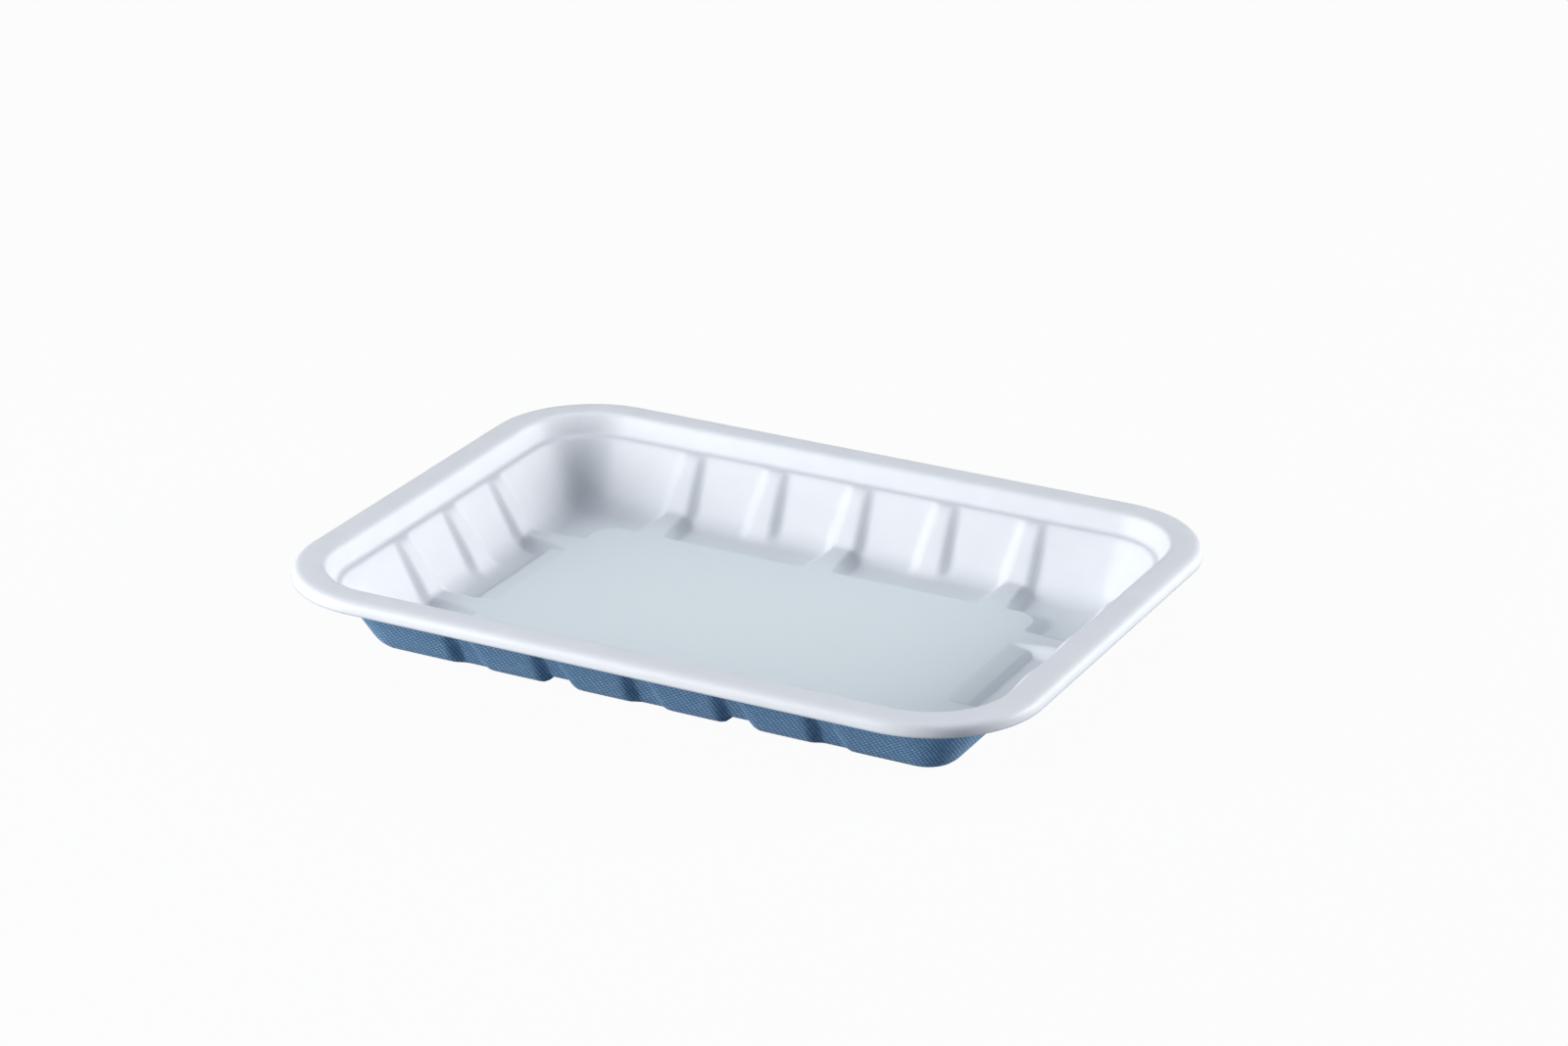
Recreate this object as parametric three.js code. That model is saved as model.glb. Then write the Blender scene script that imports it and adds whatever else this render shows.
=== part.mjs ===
// A disposable food tray, pressed in one piece from moulded plant-fibre pulp.
// Sizes are in millimetres. The tray stands on its foot ring at Z = 0, with its middle on the Z axis,
// its long sides along X and its front towards -Y. It is one shell of even thickness: a rolled rim, a small
// ledge under it, a sloping wall with tapered ribs, a foot ring of shallow pockets, and a raised flat floor.
import * as THREE from "three";
import { mergeVertices } from "three/addons/utils/BufferGeometryUtils.js";

// Driving dimensions.
const tray_length = 225;
const tray_width = 167;
const tray_height = 25;
const pulp_thickness = 1;
const rim_corner_radius = 32.4;

// The rim, from its outer lip to the crease where it meets the ledge.
const lip_drop = 3.6;
const lip_round = 3;
const rim_flat_width = 4.8;
const rim_inner_round = 1.4;
const rim_slope_run = 2.9;
const rim_drop = 5.8;
const ledge_width = 1.7;
const ledge_drop = 0.2;

// The wall, the foot ring and the floor.
const wall_run = 11.3;
const wall_top_round = 0.8;
const foot_round = 4.6;
const foot_flat_width = 8.3;
const foot_slope_width = 3.6;
const floor_rise = 2.3;
const foot_corner_radius = 7;

// The sloped shelf beside the floor between the two bridges of a short side, and the step down from it.
const shelf_width = 5.8;
const shelf_drop = 0.9;
const shelf_step = 1.6;

// The ribs, which press the wall inwards. A bridge rib also runs on across the foot ring to the floor.
const long_side_pitch = 27.7;
const short_side_pitch = 25.7;
const rib_top_width = 8.8;
const rib_foot_width = 13.6;
const rib_top_face = 3.2;
const rib_foot_face = 6.4;
const rib_top_depth = 1.3;
const rib_foot_depth = 3;
const rib_end_depth = 0.5;
const bridge_rise = 2.9;
const bridge_flare = 1.7;

const back_ribs = [
  { place: -2 * long_side_pitch, bridge: true },
  { place: -long_side_pitch, bridge: false },
  { place: 0, bridge: true },
  { place: long_side_pitch, bridge: false },
  { place: 2 * long_side_pitch, bridge: true },
];
const front_ribs = back_ribs.map((rib) => ({ place: rib.place, bridge: !rib.bridge }));
const end_ribs = [
  { place: -short_side_pitch, bridge: true },
  { place: 0, bridge: false },
  { place: short_side_pitch, bridge: true },
];

// How the slopes down to the foot ring flatten out at their foot: 1 would be straight.
const fillet_power = 1.5;

// How finely the round stretches are cut.
const corner_steps = 8;
const rim_corner_steps = 9;
const lip_steps = 4;
const small_round_steps = 2;
const foot_steps = 3;
const foot_slope_steps = 3;

// Places along the section, measured inwards from the rim's outer edge.
const rim_edge = lip_round + rim_flat_width + rim_inner_round;
const crease = rim_edge + rim_slope_run;
const wall_top = crease + ledge_width;
const wall_foot = wall_top + wall_run;
const foot_start = wall_foot + foot_round;
const foot_end = foot_start + foot_flat_width;
const floor_start = foot_end + foot_slope_width;
const shelf_end = floor_start - shelf_width;
const step_end = shelf_end - shelf_step;

// Heights of the upper face.
const foot_level = pulp_thickness;
const crease_level = tray_height - rim_drop;
const wall_top_level = crease_level - ledge_drop;

// The corners of the upper face's section, as places and heights.
const lip_end = new THREE.Vector2(0, tray_height - lip_drop);
const lip_corner = new THREE.Vector2(0, tray_height);
const rim_corner = new THREE.Vector2(rim_edge, tray_height);
const crease_corner = new THREE.Vector2(crease, crease_level);
const wall_top_corner = new THREE.Vector2(wall_top, wall_top_level);
const wall_foot_corner = new THREE.Vector2(wall_foot, foot_level);
const foot_end_corner = new THREE.Vector2(foot_end, foot_level);

// A rounded corner of the section, whose curve starts and ends the given size away from the corner.
function roundCorner(before, corner, after, size, steps) {
  const towards = (other) => other.clone().sub(corner).setLength(size).add(corner);
  return new THREE.QuadraticBezierCurve(towards(before), corner, towards(after)).getPoints(steps);
}

// The foot ring's flat, with a row at each edge of the shelf's step, and its curved rise to the floor.
function footRing() {
  const points = [step_end, shelf_end].map((inset) => new THREE.Vector2(inset, foot_level));
  for (let i = 0; i <= foot_slope_steps; i += 1) {
    const share = i / foot_slope_steps;
    const inset = foot_end + foot_slope_width * share;
    points.push(new THREE.Vector2(inset, foot_level + floor_rise * share ** fillet_power));
  }
  return points;
}

// One row of the section: how far in from the rim's edge, how high, the ribs' depth in it (depth), how far
// down the wall it lies from 0 to 1 (down), and whether the bridges and the shelf may raise it (lift).
const row = (point, depth = 0, down = 0, lift = false) => ({
  inset: point.x,
  level: point.y,
  depth,
  down,
  lift,
});

// The upper face from the lip's lower end in to the crease and the ledge under it.
function rimRows() {
  const lip = roundCorner(lip_end, lip_corner, rim_corner, lip_round, lip_steps);
  const inner = roundCorner(lip_corner, rim_corner, crease_corner, rim_inner_round, small_round_steps);
  return [lip_end, ...lip, ...inner, crease_corner].map((point) => row(point));
}

// The upper face from the wall's top down over the foot ring and up to the floor.
function wallRows() {
  const top = roundCorner(
    crease_corner,
    wall_top_corner,
    wall_foot_corner,
    wall_top_round,
    small_round_steps,
  );
  const foot = roundCorner(wall_top_corner, wall_foot_corner, foot_end_corner, foot_round, foot_steps);
  const wall_end = foot[0];
  const middle = top[top.length - 1].clone().lerp(wall_end, 0.5);
  const wallRow = (point) => {
    const down = (wall_top_level - point.y) / (wall_top_level - wall_end.y);
    return row(point, THREE.MathUtils.lerp(rib_top_depth, rib_foot_depth, down), down);
  };
  const footRow = (point, i) => {
    const share = (i / foot_steps) ** 2;
    return row(point, THREE.MathUtils.lerp(rib_foot_depth, rib_end_depth, share), 1, true);
  };
  return [
    row(top[0]),
    wallRow(top[top.length - 1]),
    wallRow(middle),
    ...foot.map(footRow),
    ...footRing().map((point) => row(point, 0, 1, true)),
  ];
}

// The section moved one pulp thickness down and outwards, square to itself.
function lowerRows(upper) {
  return upper.map((here, i) => {
    const before = upper[Math.max(i - 1, 0)];
    const after = upper[Math.min(i + 1, upper.length - 1)];
    const along = new THREE.Vector2(after.inset - before.inset, after.level - before.level);
    const flat = here.level === before.level || here.level === after.level;
    const shift = flat ? new THREE.Vector2(0, -1) : new THREE.Vector2(along.y, -along.x).normalize();
    if (i === 0) shift.set(1, 0);
    shift.multiplyScalar(pulp_thickness);
    return { ...here, inset: here.inset + shift.x, level: here.level + shift.y };
  });
}

// The edges across a rib: the side of it (hand), how far down its flank it lies from the flat face at 0 to
// the wall at 1 (flank), and its share of the rib's depth (depth).
const rib_edges = [
  { hand: -1, flank: 1, depth: 0 },
  { hand: -1, flank: 0.5, depth: 0.5 },
  { hand: -1, flank: 0, depth: 1 },
  { hand: 1, flank: 0, depth: 1 },
  { hand: 1, flank: 0.5, depth: 0.5 },
  { hand: 1, flank: 1, depth: 0 },
];

// The stations along one side of the outline: its two ends, each rib's edges, and places between the ribs.
function sideStations(side) {
  const ribs = ribsAlong(side);
  const stations = [{ side, end: -1 }];
  ribs.forEach((rib, i) => {
    for (const edge of rib_edges) stations.push({ side, rib, edge });
    if (i + 1 < ribs.length) stations.push({ side, at: (rib.place + ribs[i + 1].place) / 2 });
  });
  stations.push({ side, end: 1 });
  return stations;
}

function cornerStations(quarter, steps) {
  return Array.from({ length: steps - 1 }, (_, i) => ({
    angle: (quarter + (i + 1) / steps) * (Math.PI / 2),
  }));
}

// The four sides in turn: which way each faces and its ribs. Each runs anticlockwise as seen from above.
const sides = [
  { quarter: 0, facing: [1, 0], ribs: end_ribs },
  { quarter: 1, facing: [0, 1], ribs: back_ribs },
  { quarter: 2, facing: [-1, 0], ribs: end_ribs },
  { quarter: 3, facing: [0, -1], ribs: front_ribs },
];

// A side's ribs in the order in which the outline meets them.
function ribsAlong(side) {
  const sign = side.facing[1] > 0 || side.facing[0] < 0 ? -1 : 1;
  return side.ribs.map((rib) => ({ ...rib, place: rib.place * sign })).sort((a, b) => a.place - b.place);
}

const wall_stations = sides.flatMap((side) => [
  ...sideStations(side),
  ...cornerStations(side.quarter, corner_steps),
]);
const rim_stations = sides.flatMap((side) => [
  { side, end: -1 },
  { side, end: 1 },
  ...cornerStations(side.quarter, rim_corner_steps),
]);

// How far a place has come from the wall's foot at 0 to the floor's edge at 1.
const acrossRing = (inset) => THREE.MathUtils.clamp((inset - wall_foot) / (floor_start - wall_foot), 0, 1);

// How much wider a bridge is there, on each hand, than its rib's foot.
const bridgeFlare = (inset) => bridge_flare * acrossRing(inset) ** 2;

// How far above the foot ring the nearest bridge of a side lies at a place.
function bridgeHeight(side, along, inset) {
  const half = rib_foot_face / 2 + bridgeFlare(inset);
  const flank = (rib_foot_width - rib_foot_face) / 2;
  const bridges = ribsAlong(side).filter((rib) => rib.bridge);
  const gap = Math.min(...bridges.map((rib) => Math.abs(along - rib.place))) - half;
  const share = THREE.MathUtils.clamp(1 - gap / flank, 0, 1);
  return THREE.MathUtils.lerp(bridge_rise, floor_rise, acrossRing(inset)) * share ** fillet_power;
}

// How far above the foot ring the shelf of a short side lies at a place.
function shelfHeight(side, along, inset) {
  if (side.ribs !== end_ribs || Math.abs(along) > short_side_pitch) return 0;
  const level = floor_rise - (shelf_drop * (floor_start - inset)) / shelf_width;
  return level * THREE.MathUtils.smoothstep(inset, step_end, shelf_end);
}

// The point of one row at a station on a corner.
function cornerPoint(angle, inset, level) {
  const radius = Math.max(rim_corner_radius - inset, foot_corner_radius);
  const turn = new THREE.Vector2(Math.cos(angle), Math.sin(angle));
  const x = Math.sign(turn.x) * (tray_length / 2 - inset - radius) + radius * turn.x;
  const y = Math.sign(turn.y) * (tray_width / 2 - inset - radius) + radius * turn.y;
  return new THREE.Vector3(x, y, level);
}

// The point of one row at a station on a side. The base is the foot ring's level on this face of the shell.
function sidePoint(station, part, base) {
  const { side, rib, edge } = station;
  const [fx, fy] = side.facing;
  const radius = Math.max(rim_corner_radius - part.inset, foot_corner_radius);
  const half_across = (fx ? tray_length : tray_width) / 2;
  const straight = (fx ? tray_width : tray_length) / 2 - part.inset - radius;
  let along = station.end ? station.end * straight : station.at;
  let inset = part.inset;
  if (rib) {
    const face = THREE.MathUtils.lerp(rib_top_face, rib_foot_face, part.down) / 2;
    const foot = THREE.MathUtils.lerp(rib_top_width, rib_foot_width, part.down) / 2;
    const flare = rib.bridge ? bridgeFlare(part.inset) : 0;
    along = rib.place + edge.hand * (THREE.MathUtils.lerp(face, foot, edge.flank) + flare);
    inset += part.depth * edge.depth;
  }
  along = THREE.MathUtils.clamp(along, -straight, straight);
  let level = part.level;
  if (part.lift) {
    const bridge = bridgeHeight(side, along, part.inset);
    level = Math.max(level, base + bridge, base + shelfHeight(side, along, part.inset));
  }
  const across = half_across - inset;
  return new THREE.Vector3(fx * across - fy * along, fy * across + fx * along, level);
}

function ring(stations, part, base) {
  return stations.map((station) =>
    station.side ? sidePoint(station, part, base) : cornerPoint(station.angle, part.inset, part.level),
  );
}

// Triangles between two closed rings that run the same way round, however many points each has.
function bridgeRings(outer, inner, triangles) {
  const shareOf = (points) => {
    const total = [0];
    points.forEach((p, i) => total.push(total[i] + p.distanceTo(points[(i + 1) % points.length])));
    return total.map((t) => t / total[points.length]);
  };
  const same = outer.length === inner.length;
  const a = shareOf(outer);
  const b = shareOf(inner);
  let i = 0;
  let j = 0;
  while (i < outer.length || j < inner.length) {
    const step_outer = same ? i <= j : (a[i + 1] ?? 2) < (b[j + 1] ?? 2);
    const here = outer[i % outer.length];
    const there = inner[j % inner.length];
    if (step_outer) triangles.push([here, outer[(i + 1) % outer.length], there]);
    else triangles.push([here, inner[(j + 1) % inner.length], there]);
    if (step_outer) i += 1;
    else j += 1;
  }
}

// A flat lid over one ring, as a fan round its middle.
function coverRing(points, triangles) {
  const middle = new THREE.Vector3(0, 0, points[0].z);
  points.forEach((p, i) => triangles.push([p, points[(i + 1) % points.length], middle]));
}

// One face of the shell, from the lip's end in to the middle of the floor.
function faceTriangles(rim, wall, base) {
  const triangles = [];
  const rings = [
    ...rim.map((part) => ring(rim_stations, part, base)),
    ...wall.map((part) => ring(wall_stations, part, base)),
  ];
  for (let i = 0; i + 1 < rings.length; i += 1) bridgeRings(rings[i], rings[i + 1], triangles);
  coverRing(rings[rings.length - 1], triangles);
  return { triangles, edge: rings[0] };
}

function trayGeometry() {
  const rim_rows = rimRows();
  const rim_count = rim_rows.length;
  const upper = [...rim_rows, ...wallRows()];
  const lower = lowerRows(upper);
  const top = faceTriangles(upper.slice(0, rim_count), upper.slice(rim_count), foot_level);
  const under = faceTriangles(lower.slice(0, rim_count), lower.slice(rim_count), 0);
  const lip_faces = [];
  bridgeRings(under.edge, top.edge, lip_faces);
  const under_faces = under.triangles.map(([a, b, c]) => [a, c, b]);
  const faces = [...top.triangles, ...under_faces, ...lip_faces];
  const positions = faces.flat().flatMap((point) => [point.x, point.y, point.z]);
  const geometry = new THREE.BufferGeometry();
  geometry.setAttribute("position", new THREE.Float32BufferAttribute(positions, 3));
  return mergeVertices(geometry, 1e-4);
}

const moulded_pulp = new THREE.MeshStandardMaterial({ color: 0xe9eef3, roughness: 0.62, metalness: 0 });
const tray = new THREE.Mesh(trayGeometry(), moulded_pulp);
tray.name = "tray";

const group = new THREE.Group();
group.add(tray);

export default group;
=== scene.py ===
"""A disposable food tray, pressed in one piece from moulded plant-fibre pulp, on a plain white studio floor.

Everything is in metres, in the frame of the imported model. The tray stands on its foot ring at Z = 0, with
its long sides along X and its front towards -Y.
"""

import math

import bmesh
import bpy
from mathutils import Matrix, Vector


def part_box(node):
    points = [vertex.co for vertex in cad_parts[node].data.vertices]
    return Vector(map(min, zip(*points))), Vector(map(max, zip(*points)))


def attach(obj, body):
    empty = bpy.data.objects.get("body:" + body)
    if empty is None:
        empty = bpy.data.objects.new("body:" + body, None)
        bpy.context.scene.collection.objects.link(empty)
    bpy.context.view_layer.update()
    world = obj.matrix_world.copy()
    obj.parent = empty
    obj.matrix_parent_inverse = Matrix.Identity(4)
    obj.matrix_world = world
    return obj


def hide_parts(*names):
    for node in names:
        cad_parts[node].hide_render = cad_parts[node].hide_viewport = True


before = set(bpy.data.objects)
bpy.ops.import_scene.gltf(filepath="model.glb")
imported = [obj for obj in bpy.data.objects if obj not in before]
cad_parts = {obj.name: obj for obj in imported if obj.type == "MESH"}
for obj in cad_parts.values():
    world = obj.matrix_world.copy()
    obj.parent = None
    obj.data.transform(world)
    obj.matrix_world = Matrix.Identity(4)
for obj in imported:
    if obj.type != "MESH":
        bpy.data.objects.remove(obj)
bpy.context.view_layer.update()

MM = 0.001

# The tray's outside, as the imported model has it.
low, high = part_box("tray")
TRAY_LENGTH = high.x - low.x
TRAY_WIDTH = high.y - low.y
TRAY_HEIGHT = high.z
PULP = 1.0 * MM
RIM_CORNER = 32.4 * MM

# The rim, from its outer lip to the crease where it meets the ledge.
LIP_DROP = 3.6 * MM
LIP_ROUND = 3.0 * MM
RIM_FLAT = 4.8 * MM
RIM_INNER_ROUND = 1.4 * MM
RIM_SLOPE_RUN = 2.9 * MM
RIM_DROP = 5.8 * MM
CREASE_ROUND = 0.9 * MM
LEDGE_WIDTH = 1.7 * MM
LEDGE_DROP = 0.2 * MM

# The wall, the foot ring and the floor.
WALL_RUN = 11.3 * MM
WALL_TOP_ROUND = 0.8 * MM
FOOT_ROUND = 4.6 * MM
FOOT_FLAT = 8.3 * MM
FOOT_SLOPE = 3.6 * MM
FLOOR_RISE = 2.3 * MM
SHELF_WIDTH = 5.8 * MM
SHELF_DROP = 0.9 * MM
SHELF_STEP = 1.6 * MM
FOOT_CORNER = 7.0 * MM

# The ribs, which press the wall inwards. A rib marked True also carries the floor across the foot ring.
LONG_PITCH = 27.7 * MM
SHORT_PITCH = 25.7 * MM
RIB_TOP_WIDTH = 8.8 * MM
RIB_FOOT_WIDTH = 13.6 * MM
RIB_TOP_FACE = 3.2 * MM
RIB_FOOT_FACE = 6.4 * MM
RIB_TOP_DEPTH = 1.3 * MM
RIB_FOOT_DEPTH = 3.0 * MM
RIB_END_DEPTH = 0.5 * MM
BRIDGE_RISE = 2.9 * MM
BRIDGE_FLARE = 1.7 * MM
BRIDGE_BLEND = 1.6 * MM

BACK_RIBS = {
    -2 * LONG_PITCH: True,
    -LONG_PITCH: False,
    0.0: True,
    LONG_PITCH: False,
    2 * LONG_PITCH: True,
}
FRONT_RIBS = {place: not bridge for place, bridge in BACK_RIBS.items()}
END_RIBS = {-SHORT_PITCH: True, 0.0: False, SHORT_PITCH: True}

# The mesh: the steps that a quarter of the tray takes on its short side, its corner and its long side, and
# the rows that the parts of its section take. A narrow row just inside the floor's edge keeps it crisp.
SHORT_STEPS = 50
CORNER_STEPS = 34
LONG_STEPS = 78
QUARTER_STEPS = SHORT_STEPS + CORNER_STEPS + LONG_STEPS
WALL_ROWS = 10
FLAT_ROWS = 13
SLOPE_ROWS = 7
FLOOR_ROWS = 5
FLOOR_EDGE_ROW = 0.6 * MM
LIP_ROWS = 8
RIM_ROWS = 5
CREASE_ROWS = 3
FOOT_ROWS = 7

# Places along the section, measured inwards from the rim's outer edge, and heights of the upper face.
RIM_EDGE = LIP_ROUND + RIM_FLAT + RIM_INNER_ROUND
CREASE = RIM_EDGE + RIM_SLOPE_RUN
WALL_TOP = CREASE + LEDGE_WIDTH
WALL_FOOT = WALL_TOP + WALL_RUN
FOOT_START = WALL_FOOT + FOOT_ROUND
FOOT_END = FOOT_START + FOOT_FLAT
FLOOR_START = FOOT_END + FOOT_SLOPE
FOOT_LEVEL = PULP
FLOOR_LEVEL = FOOT_LEVEL + FLOOR_RISE
CREASE_LEVEL = TRAY_HEIGHT - RIM_DROP
WALL_TOP_LEVEL = CREASE_LEVEL - LEDGE_DROP

# The pulp's marks: fibre clouds and grain above, and the mould screen's wires and loose fibres below.
CLOUD_SIZE = 9.0 * MM
GRAIN_SIZE = 0.9 * MM
GRAIN_DEPTH = 0.04 * MM
WIRE_PITCH = 0.8 * MM
WIRE_DEPTH = 0.09 * MM
FIBRE_SIZE = 1.6 * MM
PULP_IOR = 1.45

# The side of the square studio floor.
STUDIO_FLOOR = 6.0

# The camera: the photo's direction, distance and framing, from the middle of the tray's rim.
CAMERA_AZIMUTH = math.radians(27.3274)
CAMERA_ELEVATION = math.radians(22.6386)
CAMERA_ROLL = math.radians(0.2627)
CAMERA_DISTANCE = 1.29927
CAMERA_TARGET = Vector((-0.74 * MM, 21.94 * MM, TRAY_HEIGHT))
SENSOR_WIDTH = 36.0
FOCAL_LENGTH = 105.42


def add_camera():
    """The camera, level but for a slight roll, looking down at the tray."""
    across = Vector((math.cos(CAMERA_AZIMUTH), math.sin(CAMERA_AZIMUTH), 0))
    back = Vector(
        (
            math.sin(CAMERA_AZIMUTH) * math.cos(CAMERA_ELEVATION),
            -math.cos(CAMERA_AZIMUTH) * math.cos(CAMERA_ELEVATION),
            math.sin(CAMERA_ELEVATION),
        )
    )
    up = back.cross(across)
    turn = Matrix((across, up, back)).transposed().to_4x4()
    data = bpy.data.cameras.new("camera")
    data.sensor_width = SENSOR_WIDTH
    data.lens = FOCAL_LENGTH
    camera = bpy.data.objects.new("camera", data)
    bpy.context.scene.collection.objects.link(camera)
    place = Matrix.Translation(CAMERA_TARGET + back * CAMERA_DISTANCE)
    camera.matrix_world = place @ turn @ Matrix.Rotation(CAMERA_ROLL, 4, "Z")
    bpy.context.scene.camera = camera


add_camera()


def smoothstep(value, start, end):
    """0 up to start, 1 from end, and a smooth rise between them."""
    share = min(max((value - start) / (end - start), 0.0), 1.0)
    return share * share * (3 - 2 * share)


def mix(a, b, share):
    """The value that lies a share of the way from a to b."""
    return a + (b - a) * share


def slope_rise(share):
    """How a slope up from the foot ring rises: soft at its foot and crisp at its top."""
    return share * math.sqrt(share)


def round_corner(before, corner, after, size, steps):
    """A rounded corner of the section, which starts and ends the given size away from the corner."""
    start = corner + (before - corner).normalized() * size
    end = corner + (after - corner).normalized() * size
    shares = [i / steps for i in range(steps + 1)]
    return [start.lerp(corner, share).lerp(corner.lerp(end, share), share) for share in shares]


def tray_section():
    """The upper face's section, as places in from the rim's edge and heights, from the lip to the floor."""
    lip_end = Vector((0, TRAY_HEIGHT - LIP_DROP))
    lip = Vector((0, TRAY_HEIGHT))
    rim = Vector((RIM_EDGE, TRAY_HEIGHT))
    crease = Vector((CREASE, CREASE_LEVEL))
    wall_top = Vector((WALL_TOP, WALL_TOP_LEVEL))
    wall_foot = Vector((WALL_FOOT, FOOT_LEVEL))
    foot_end = Vector((FOOT_END, FOOT_LEVEL))
    points = [lip_end]
    points += round_corner(lip_end, lip, rim, LIP_ROUND, LIP_ROWS)
    points += round_corner(lip, rim, crease, RIM_INNER_ROUND, RIM_ROWS)
    points += round_corner(rim, crease, wall_top, CREASE_ROUND, CREASE_ROWS)
    points += round_corner(crease, wall_top, wall_foot, WALL_TOP_ROUND, CREASE_ROWS)
    points += round_corner(wall_top, wall_foot, foot_end, FOOT_ROUND, FOOT_ROWS)
    points += [points[-1].lerp(foot_end, i / FLAT_ROWS) for i in range(1, FLAT_ROWS)]
    for i in range(SLOPE_ROWS + 1):
        share = i / SLOPE_ROWS
        inset = mix(FOOT_END, FLOOR_START, share)
        points.append(Vector((inset, mix(FOOT_LEVEL, FLOOR_LEVEL, slope_rise(share)))))
    return points


def spin_dish():
    """The section spun into a round dish as far across as the tray is long."""
    bm = bmesh.new()
    floor_places = [FLOOR_START + FLOOR_EDGE_ROW, TRAY_LENGTH / 2]
    places = tray_section() + [Vector((place, FLOOR_LEVEL)) for place in floor_places]
    verts = [bm.verts.new((TRAY_LENGTH / 2 - p.x, 0, p.y)) for p in places]
    edges = [bm.edges.new(pair) for pair in zip(verts, verts[1:])]
    wall = max(edges[:-1], key=lambda edge: edge.calc_length())
    bmesh.ops.subdivide_edges(bm, edges=[wall], cuts=WALL_ROWS)
    bmesh.ops.subdivide_edges(bm, edges=[edges[-1]], cuts=FLOOR_ROWS)
    bmesh.ops.spin(
        bm,
        geom=bm.verts[:] + bm.edges[:],
        axis=(0, 0, 1),
        cent=(0, 0, 0),
        angle=2 * math.pi,
        steps=4 * QUARTER_STEPS,
        use_merge=True,
    )
    bmesh.ops.remove_doubles(bm, verts=bm.verts, dist=0.001 * MM)
    bmesh.ops.recalc_face_normals(bm, faces=bm.faces)
    if max(bm.faces, key=lambda face: face.calc_center_median().z).normal.z < 0:
        bmesh.ops.reverse_faces(bm, faces=bm.faces)
    return bm


def plan_place(turn, inset):
    """Where a quarter turn of the dish lands on the rounded rectangle this far in from the rim's edge."""
    corner = max(RIM_CORNER - inset, FOOT_CORNER)
    half_x = TRAY_LENGTH / 2 - inset
    half_y = TRAY_WIDTH / 2 - inset
    step = turn / (math.pi / 2) * QUARTER_STEPS
    if step <= SHORT_STEPS:
        return half_x, (half_y - corner) * step / SHORT_STEPS
    if step <= SHORT_STEPS + CORNER_STEPS:
        angle = (step - SHORT_STEPS) / CORNER_STEPS * math.pi / 2
        return half_x - corner * (1 - math.cos(angle)), half_y - corner * (1 - math.sin(angle))
    return (half_x - corner) * (QUARTER_STEPS - step) / LONG_STEPS, half_y


def rib_push(ribs, along, inset, down):
    """How far the ribs of a side push a point of it inwards."""
    half_face = mix(RIB_TOP_FACE, RIB_FOOT_FACE, down) / 2
    half_foot = mix(RIB_TOP_WIDTH, RIB_FOOT_WIDTH, down) / 2
    share = sum(1 - smoothstep(abs(along - place), half_face, half_foot) for place in ribs)
    depth = mix(RIB_TOP_DEPTH, RIB_FOOT_DEPTH, down)
    depth *= smoothstep(inset, CREASE + LEDGE_WIDTH / 2, WALL_TOP + WALL_TOP_ROUND)
    depth = mix(depth, RIB_END_DEPTH, smoothstep(inset, WALL_FOOT - FOOT_ROUND, FOOT_START))
    return share * depth * (1 - smoothstep(inset, FOOT_START, FOOT_END))


def bridge_level(ribs, along, inset):
    """The height that a side's bridges give the foot ring. Each goes on from its rib's foot and widens."""
    across = min(max((inset - WALL_FOOT) / (FLOOR_START - WALL_FOOT), 0), 1)
    half = RIB_FOOT_FACE / 2 + BRIDGE_FLARE * across * across
    flank = (RIB_FOOT_WIDTH - RIB_FOOT_FACE) / 2
    gap = min(abs(along - place) for place, bridge in ribs.items() if bridge) - half
    share = 1 - min(max(gap / flank, 0), 1)
    top = mix(FOOT_LEVEL + BRIDGE_RISE, FLOOR_LEVEL, across)
    return mix(FOOT_LEVEL, top, slope_rise(share))


def shelf_level(along, inset):
    """The sloped shelf between the two bridges of a short side, with a step down to the foot ring."""
    if abs(along) > SHORT_PITCH:
        return FOOT_LEVEL
    from_floor = (FLOOR_START - inset) / SHELF_WIDTH
    on_shelf = smoothstep(from_floor * SHELF_WIDTH, SHELF_WIDTH + SHELF_STEP, SHELF_WIDTH)
    return mix(FOOT_LEVEL, FLOOR_LEVEL - SHELF_DROP * from_floor, on_shelf)


def soft_max(a, b, blend):
    """The greater of two heights, rounded off where they meet."""
    share = min(max(0.5 + 0.5 * (a - b) / blend, 0), 1)
    return mix(b, a, share) + blend * share * (1 - share)


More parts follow.
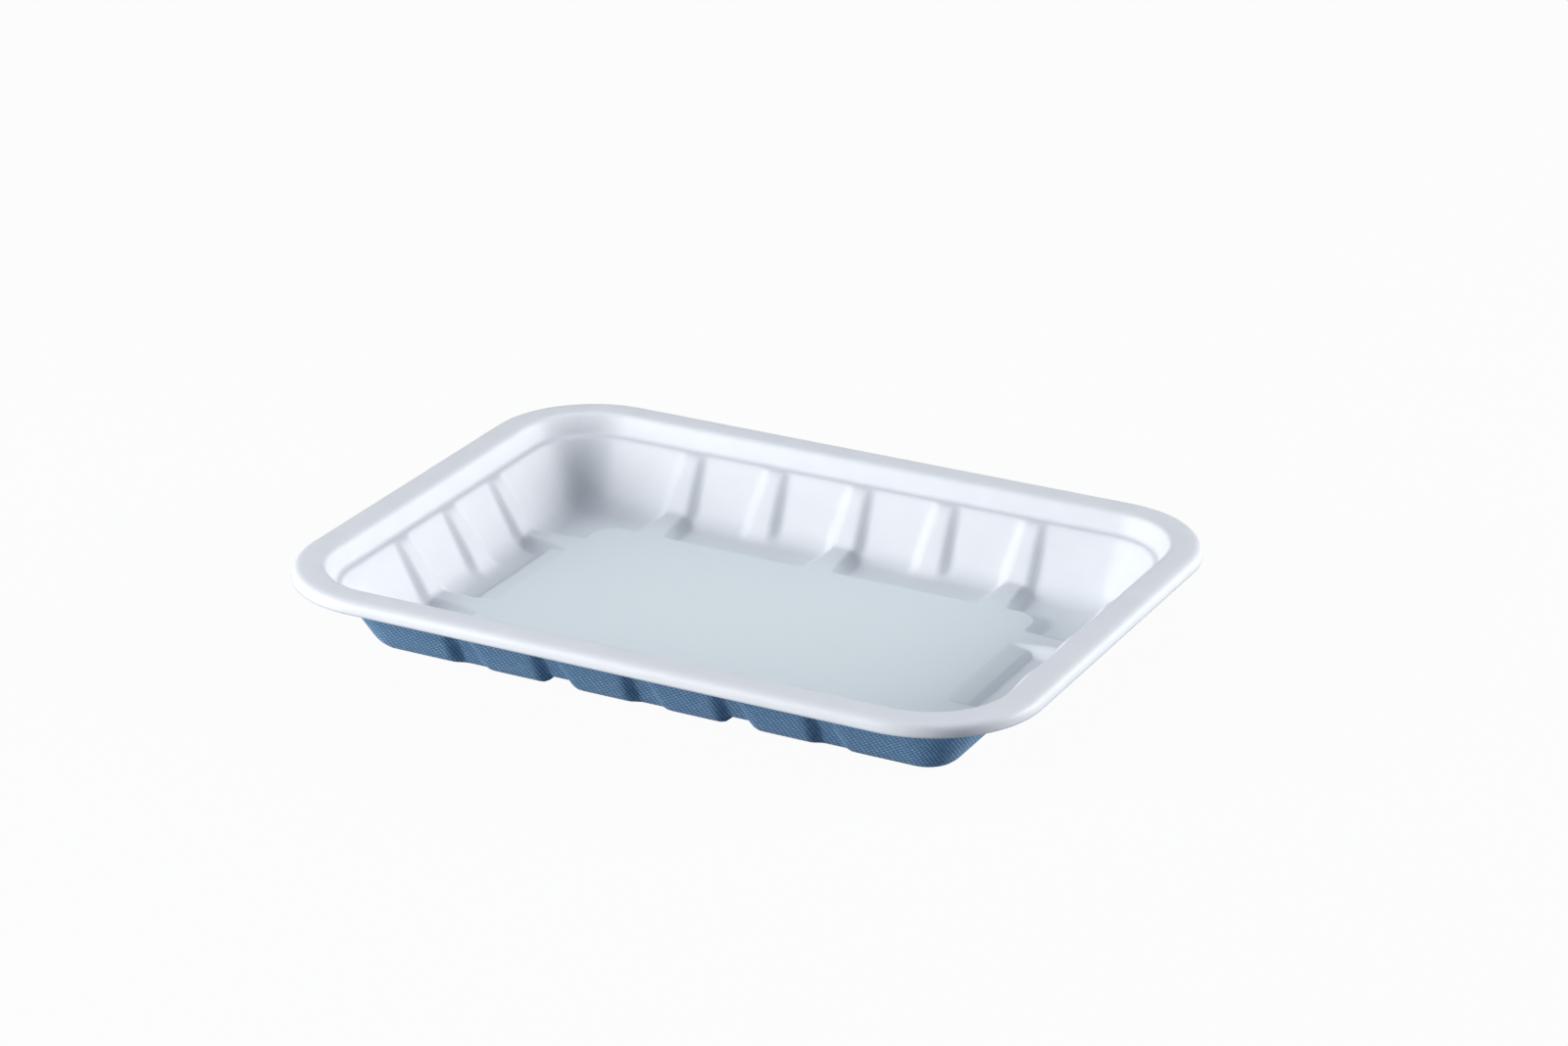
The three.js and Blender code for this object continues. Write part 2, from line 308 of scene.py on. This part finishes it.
def warp_to_tray(bm):
    """Moves each point of the round dish to its place on the tray, with the ribs and bridges pressed in.

    The attribute on_floor goes from 0 on the wall to 1 on the floor, and masks the floor's painted light
    tint.
    """
    on_floor = bm.verts.layers.float.new("on_floor")
    for vert in bm.verts:
        x, y, level = vert.co
        inset = TRAY_LENGTH / 2 - math.hypot(x, y)
        turn = math.atan2(abs(y), abs(x))
        plan_x, plan_y = plan_place(turn, min(inset, FLOOR_START))
        if inset > FLOOR_START:
            shrink = (TRAY_LENGTH / 2 - inset) / (TRAY_LENGTH / 2 - FLOOR_START)
            plan_x *= shrink
            plan_y *= shrink
        plan_x = math.copysign(plan_x, x)
        plan_y = math.copysign(plan_y, y)
        if CREASE < inset < FLOOR_START:
            down = min(max((WALL_TOP_LEVEL - level) / (WALL_TOP_LEVEL - FOOT_LEVEL), 0), 1)
            on_end = turn < SHORT_STEPS / QUARTER_STEPS * math.pi / 2
            ribs = END_RIBS if on_end else BACK_RIBS if y > 0 else FRONT_RIBS
            along = plan_y if on_end else plan_x
            push = rib_push(ribs, along, inset, down)
            if on_end:
                plan_x -= math.copysign(push, x)
            else:
                plan_y -= math.copysign(push, y)
            trough = max(bridge_level(ribs, along, inset), shelf_level(plan_y, inset))
            blend = BRIDGE_BLEND * (trough - FOOT_LEVEL) / BRIDGE_RISE
            if inset < FOOT_START and blend > 0:
                level = soft_max(level, trough, blend)
            else:
                level = max(level, trough)
        vert.co = (plan_x, plan_y, level)
        vert[on_floor] = smoothstep(inset, WALL_FOOT, FLOOR_START)


def srgb(code):
    """A linear colour from an sRGB hex value."""
    parts = [int(code[i : i + 2], 16) / 255 for i in (1, 3, 5)]
    linear = [p / 12.92 if p <= 0.04045 else ((p + 0.055) / 1.055) ** 2.4 for p in parts]
    return (*linear, 1.0)


def add_node(tree, kind, settings=None, links=None):
    """Adds a node. Settings are its own values or its sockets' values, and links go into its sockets."""
    node = tree.nodes.new(kind)
    for name, value in (settings or {}).items():
        if isinstance(name, str) and hasattr(node, name):
            setattr(node, name, value)
        else:
            node.inputs[name].default_value = value
    for name, socket in (links or {}).items():
        tree.links.new(socket, node.inputs[name])
    return node


def new_material(name):
    """An empty node material and its tree, with the surface's Principled shader linked to the output."""
    material = bpy.data.materials.new(name)
    material.use_nodes = True
    tree = material.node_tree
    tree.nodes.clear()
    shader = tree.nodes.new("ShaderNodeBsdfPrincipled")
    output = tree.nodes.new("ShaderNodeOutputMaterial")
    tree.links.new(shader.outputs[0], output.inputs["Surface"])
    return material, tree, shader


def pressed_pulp_face():
    """Plant-fibre pulp, hot-pressed against a smooth die: a matte cool white with faint fibre clouds.

    The floor is a little cooler and greener than the walls. This is painted light: a tint that stands in for
    the cooler light the floor catches, not a colour of the pulp.
    """
    material, tree, shader = new_material("pressed_pulp_face")
    place = add_node(tree, "ShaderNodeTexCoord").outputs["Object"]
    clouds = add_node(
        tree, "ShaderNodeTexNoise", {"Scale": 1 / CLOUD_SIZE, "Detail": 4.0}, {"Vector": place}
    )
    wall_colour = add_node(
        tree,
        "ShaderNodeMix",
        {"data_type": "RGBA", 6: srgb("#E4E7EC"), 7: srgb("#ECEFF3")},
        {0: clouds.outputs["Fac"]},
    )
    # Mask for the painted light on the floor: a cooler, greener tint that stands in for the light the floor
    # catches.
    painted_floor_tint_share = add_node(tree, "ShaderNodeAttribute", {"attribute_name": "on_floor"})
    colour = add_node(
        tree,
        "ShaderNodeMix",
        {"data_type": "RGBA", 7: srgb("#E8F1F4")},
        {0: painted_floor_tint_share.outputs["Fac"], 6: wall_colour.outputs[2]},
    )
    grain = add_node(
        tree, "ShaderNodeTexNoise", {"Scale": 1 / GRAIN_SIZE, "Detail": 3.0}, {"Vector": place}
    )
    bump = add_node(
        tree,
        "ShaderNodeBump",
        {"Strength": 0.25, "Distance": GRAIN_DEPTH},
        {"Height": grain.outputs["Fac"]},
    )
    shader.inputs["Roughness"].default_value = 0.5
    shader.inputs["IOR"].default_value = PULP_IOR
    tree.links.new(colour.outputs[2], shader.inputs["Base Color"])
    tree.links.new(bump.outputs[0], shader.inputs["Normal"])
    return material


def screen_pulp_painted_blue_shade():
    """Pulp that dried against the wire screen of the mould, with the screen's fine weave in it, in a dull
    blue that is painted shade: blue light in the shaded underside of a white tray.

    Pale flecks where the wires cross, broken up by loose fibres, give the eye a woven, slightly worn cloth.
    """
    material, tree, shader = new_material("screen_pulp_painted_blue_shade")
    place = add_node(tree, "ShaderNodeTexCoord").outputs["Object"]
    heights = []
    for lift in (1, -1):
        lean = add_node(tree, "ShaderNodeMapping", {"Scale": (1, 1, lift)}, {"Vector": place})
        wires = add_node(
            tree,
            "ShaderNodeTexWave",
            {"bands_direction": "DIAGONAL", "Scale": math.pi / (10 * WIRE_PITCH), "Distortion": 1.0},
            {"Vector": lean.outputs[0]},
        )
        heights.append(wires.outputs["Fac"])
    weave = add_node(tree, "ShaderNodeMath", {"operation": "ADD"}, {0: heights[0], 1: heights[1]})
    bump = add_node(
        tree,
        "ShaderNodeBump",
        {"Strength": 0.7, "Distance": WIRE_DEPTH},
        {"Height": weave.outputs[0]},
    )
    crossings = add_node(tree, "ShaderNodeMath", {"operation": "SUBTRACT", 1: 0.7}, {0: weave.outputs[0]})
    fibres = add_node(
        tree, "ShaderNodeTexNoise", {"Scale": 1 / FIBRE_SIZE, "Detail": 3.0}, {"Vector": place}
    )
    flecks = add_node(
        tree,
        "ShaderNodeMath",
        {"operation": "MULTIPLY", "use_clamp": True},
        {0: crossings.outputs[0], 1: fibres.outputs["Fac"]},
    )
    # Painted shade: a blue that stands in for blue light on the shaded white underside, with paler blue
    # flecks where the weave's wires cross.
    colour = add_node(
        tree,
        "ShaderNodeMix",
        {"data_type": "RGBA", 6: srgb("#497BA5"), 7: srgb("#A8CEEC")},
        {0: flecks.outputs[0]},
    )
    shader.inputs["Roughness"].default_value = 0.75
    shader.inputs["Sheen Weight"].default_value = 0.18
    shader.inputs["IOR"].default_value = PULP_IOR
    tree.links.new(colour.outputs[2], shader.inputs["Base Color"])
    tree.links.new(bump.outputs[0], shader.inputs["Normal"])
    return material


def link_mesh(bm, name, materials):
    """A new object from a bmesh, smooth-shaded, at the origin."""
    mesh = bpy.data.meshes.new(name)
    bm.to_mesh(mesh)
    bm.free()
    mesh.shade_smooth()
    for material in materials:
        mesh.materials.append(material)
    piece = bpy.data.objects.new(name, mesh)
    bpy.context.scene.collection.objects.link(piece)
    return piece


def make_tray():
    """The tray's upper face, with the pulp's thickness grown below it."""
    bm = spin_dish()
    warp_to_tray(bm)
    piece = link_mesh(bm, "pulp_tray", [pressed_pulp_face(), screen_pulp_painted_blue_shade()])
    wall = piece.modifiers.new("thickness", "SOLIDIFY")
    wall.thickness = PULP
    wall.offset = -1
    # The grown thickness, the tray's underside, takes the second slot: the material with the painted blue
    # shade.
    wall.material_offset = 1
    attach(piece, "root")
    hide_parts("tray")


make_tray()


def add_floor():
    """The white studio floor, which shows as white and keeps a faint shadow of the tray."""
    material = bpy.data.materials.new("white_floor")
    material.use_nodes = True
    tree = material.node_tree
    tree.nodes.clear()
    paint = add_node(tree, "ShaderNodeBsdfDiffuse", {"Color": srgb("#B4BAC2")})
    white = add_node(tree, "ShaderNodeEmission", {"Color": (1, 1, 1, 1), "Strength": 1.0})
    path = add_node(tree, "ShaderNodeLightPath")
    share = add_node(
        tree, "ShaderNodeMath", {"operation": "MULTIPLY", 1: 0.96}, {0: path.outputs["Is Camera Ray"]}
    )
    surface = add_node(
        tree,
        "ShaderNodeMixShader",
        None,
        {0: share.outputs[0], 1: paint.outputs[0], 2: white.outputs[0]},
    )
    add_node(tree, "ShaderNodeOutputMaterial", None, {"Surface": surface.outputs[0]})
    bm = bmesh.new()
    bmesh.ops.create_grid(bm, x_segments=1, y_segments=1, size=STUDIO_FLOOR / 2)
    link_mesh(bm, "studio_floor", [material])


def add_lamp(name, azimuth, elevation, distance, size, power, colour="#FFFFFF"):
    """A soft rectangular lamp that looks at the tray from a direction given as the camera's is."""
    data = bpy.data.lights.new(name, "AREA")
    data.shape = "RECTANGLE"
    data.size, data.size_y = size
    data.energy = power
    data.color = srgb(colour)[:3]
    lamp = bpy.data.objects.new(name, data)
    bpy.context.scene.collection.objects.link(lamp)
    turn, tilt = math.radians(azimuth), math.radians(elevation)
    away = Vector((math.sin(turn) * math.cos(tilt), -math.cos(turn) * math.cos(tilt), math.sin(tilt)))
    lamp.location = away * distance
    lamp.rotation_euler = away.to_track_quat("Z", "Y").to_euler()


def add_world():
    """A white surround for the camera, and a dim even one for everything else."""
    world = bpy.data.worlds.new("studio")
    bpy.context.scene.world = world
    world.use_nodes = True
    tree = world.node_tree
    tree.nodes.clear()
    path = add_node(tree, "ShaderNodeLightPath")
    dim = add_node(tree, "ShaderNodeBackground", {"Color": srgb("#F2F6FF"), "Strength": 0.06})
    white = add_node(tree, "ShaderNodeBackground", {"Color": (1, 1, 1, 1), "Strength": 1.0})
    light = add_node(
        tree,
        "ShaderNodeMixShader",
        None,
        {0: path.outputs["Is Camera Ray"], 1: dim.outputs[0], 2: white.outputs[0]},
    )
    add_node(tree, "ShaderNodeOutputWorld", None, {"Surface": light.outputs[0]})


add_floor()
add_world()
add_lamp("left_lamp", azimuth=-45, elevation=18, distance=1.5, size=(0.35, 1.0), power=25.5)
add_lamp("right_lamp", azimuth=126, elevation=16, distance=1.6, size=(0.35, 0.8), power=26)
add_lamp("top_lamp", azimuth=0, elevation=88, distance=1.4, size=(1.0, 1.0), power=5.5, colour="#E8F1FF")

bpy.context.scene.view_settings.view_transform = "Standard"

bpy.context.view_layer.update()
